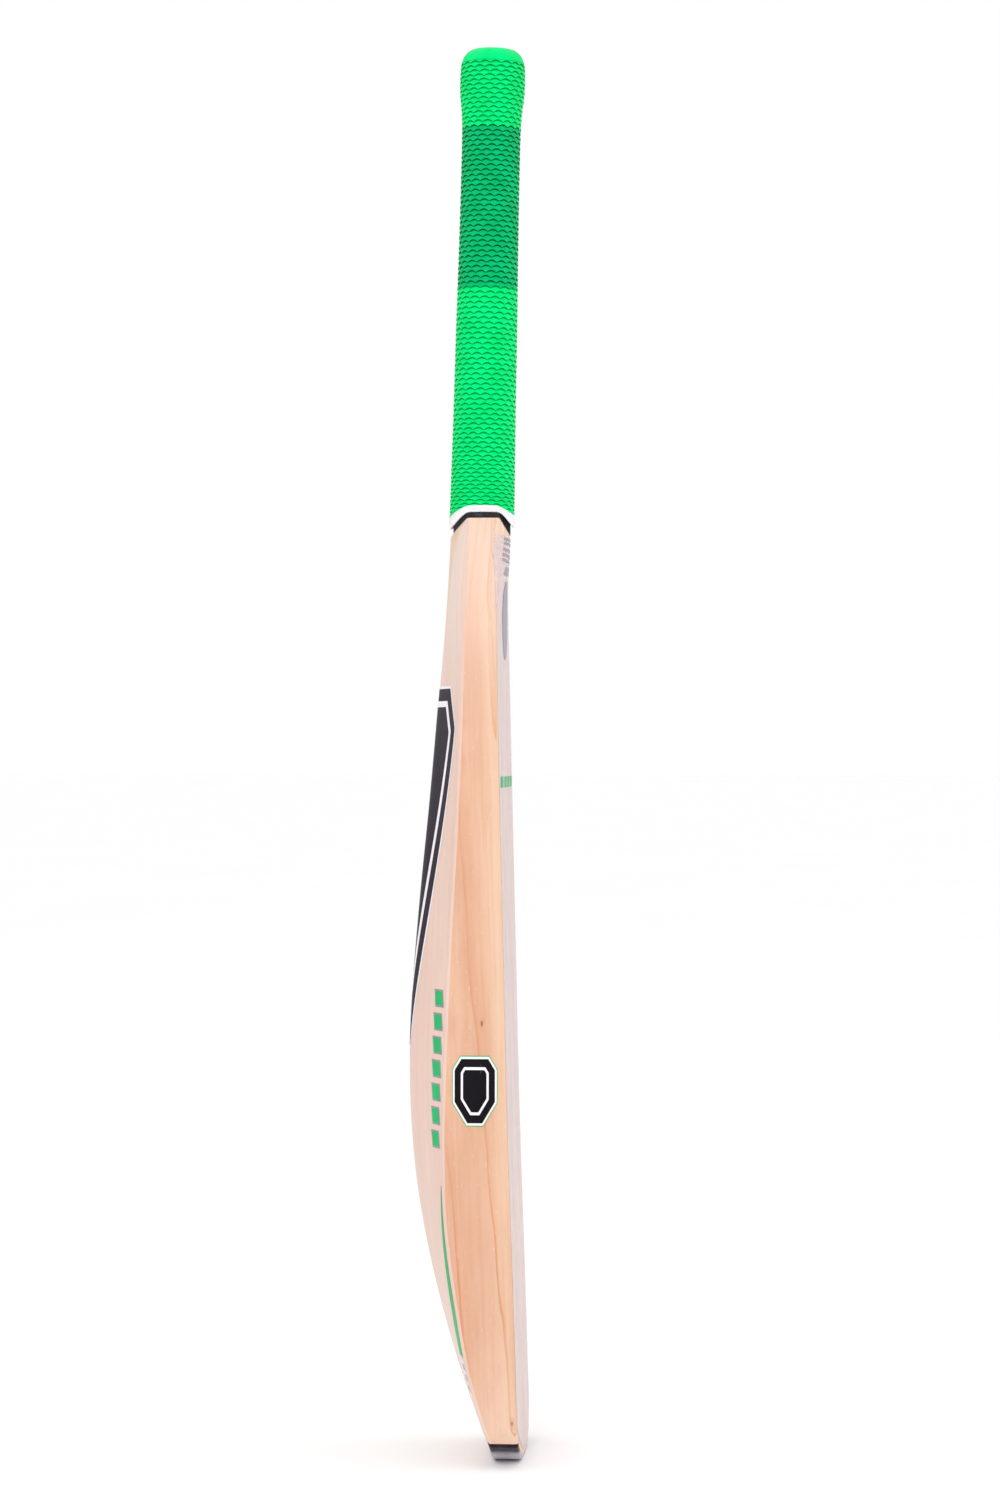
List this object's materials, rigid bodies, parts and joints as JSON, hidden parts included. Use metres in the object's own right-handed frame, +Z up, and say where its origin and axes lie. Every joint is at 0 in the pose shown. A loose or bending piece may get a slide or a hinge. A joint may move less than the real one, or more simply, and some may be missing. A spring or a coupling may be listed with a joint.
{
  "type": "cricket bat",
  "caption": "Full-size cricket bat: deep-spined willow blade on a spliced cane handle, scale-textured rubber grip, white cuff and black toe guard.",
  "frame": {"origin": "middle of the flat on the toe, where the bat stands", "axes": "+Z up along the bat to the handle's end, -Y out of the hitting face, +Y out of the spine, X across the blade's width"},
  "size_m": [0.1086, 0.0711, 0.8529],
  "materials": {
    "willow": "bare polished willow with straight grain",
    "cane": "glued cane strips, fine open pores",
    "spring_rubber": "plain rubber sheet",
    "twine": "waxed thread wound in close turns",
    "grip_rubber": "moulded rubber with overlapping scales, bright and dark green zones",
    "cuff_rubber": "smooth white rubber",
    "toe_rubber": "matt black rubber",
    "film": "clear reinforced film, satin",
    "sticker_black": "printed vinyl, semi-gloss",
    "sticker_green": "printed vinyl, semi-gloss",
    "sticker_grey": "printed vinyl, satin"
  },
  "bodies": {
    "root": {"blade": "willow", "cane_face_1": "cane", "cane_face_2": "cane", "cane_face_3": "cane", "cane_face_4": "cane", "cane_mid_1": "cane", "cane_mid_2": "cane", "cane_mid_3": "cane", "cane_mid_4": "cane", "cane_back_1": "cane", "cane_back_2": "cane", "cane_back_3": "cane", "cane_back_4": "cane", "rubber_spring_front": "spring_rubber", "rubber_spring_rear": "spring_rubber", "twine_binding": "twine", "grip": "grip_rubber", "grip_cuff": "cuff_rubber", "toe_guard": "toe_rubber", "face_film": "film", "back_sticker": "sticker_black", "edge_sticker_left": "sticker_black", "edge_sticker_right": "sticker_black", "back_dash_stickers": "sticker_green", "lower_stripe_stickers": "sticker_green", "toe_panel_stickers": "sticker_grey", "face_label": "sticker_grey", "face_dash_sticker": "sticker_green"}
  },
  "joints": []
}
